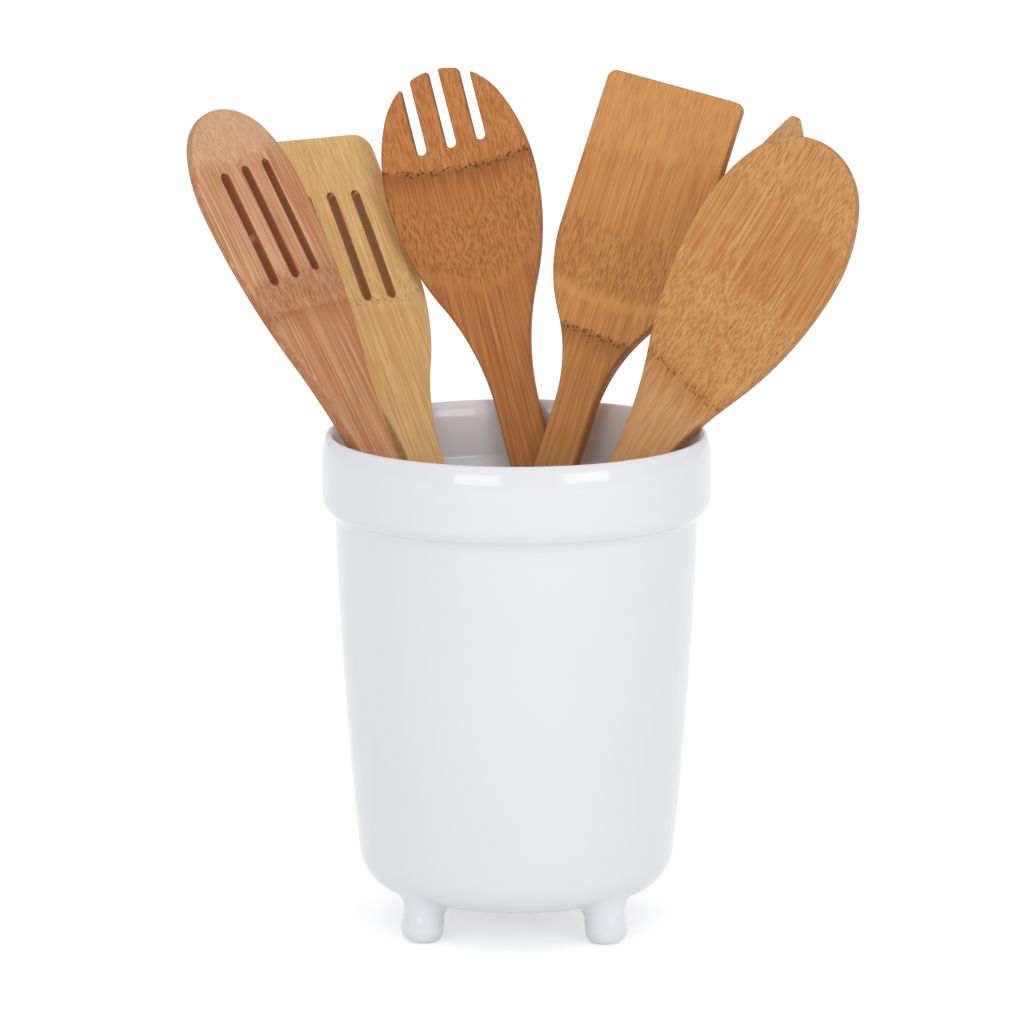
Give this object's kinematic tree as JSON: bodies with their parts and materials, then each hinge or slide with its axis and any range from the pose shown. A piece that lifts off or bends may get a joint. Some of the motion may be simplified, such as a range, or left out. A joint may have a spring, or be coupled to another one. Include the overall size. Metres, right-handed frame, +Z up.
{
  "type": "utensil crock",
  "caption": "Footed stoneware crock with a rolled band round its lip, holding bamboo spoons and turners that lean on the lip and lift out.",
  "frame": {"origin": "on the crock's axis, at the height of the surface that its four feet stand on", "axes": "+Z up along the crock's axis, -Y towards the viewer who sees the faces of the tools, +X to that viewer's right"},
  "size_m": [0.2391, 0.1764, 0.3002],
  "materials": {
    "white_glaze": "glossy clear-over-white glaze",
    "slotted_spoon_bamboo": "sanded and oiled bamboo, grain along the tool",
    "slotted_turner_bamboo": "sanded and oiled bamboo, grain along the tool",
    "fork_spoon_bamboo": "sanded and oiled bamboo, grain along the tool",
    "turner_bamboo": "sanded and oiled bamboo, grain along the tool",
    "spoon_bamboo": "sanded and oiled bamboo, grain along the tool",
    "pointed_spoon_bamboo": "sanded and oiled bamboo, grain along the tool"
  },
  "bodies": {
    "crock": {"crock": "white_glaze"},
    "slotted_spoon": {"slotted_spoon": "slotted_spoon_bamboo"},
    "slotted_turner": {"slotted_turner": "slotted_turner_bamboo"},
    "fork_spoon": {"fork_spoon": "fork_spoon_bamboo"},
    "turner": {"turner": "turner_bamboo"},
    "spoon": {"spoon": "spoon_bamboo"},
    "pointed_spoon": {"pointed_spoon": "pointed_spoon_bamboo"}
  },
  "joints": [
    {"name": "slotted_spoon_lift", "type": "slide", "parent": "crock", "child": "slotted_spoon", "axis": [-0.4335, 0.1895, 0.881], "range_m": [0, 0.2]},
    {"name": "slotted_turner_lift", "type": "slide", "parent": "crock", "child": "slotted_turner", "axis": [-0.3282, 0.4066, 0.8526], "range_m": [0, 0.2]},
    {"name": "fork_spoon_lift", "type": "slide", "parent": "crock", "child": "fork_spoon", "axis": [-0.2438, 0.2851, 0.927], "range_m": [0, 0.2]},
    {"name": "turner_lift", "type": "slide", "parent": "crock", "child": "turner", "axis": [0.3023, 0.1798, 0.9361], "range_m": [0, 0.2]},
    {"name": "spoon_lift", "type": "slide", "parent": "crock", "child": "spoon", "axis": [0.5023, -0.0361, 0.8639], "range_m": [0, 0.2]},
    {"name": "pointed_spoon_lift", "type": "slide", "parent": "crock", "child": "pointed_spoon", "axis": [0.3776, 0.1642, 0.9113], "range_m": [0, 0.2]}
  ]
}
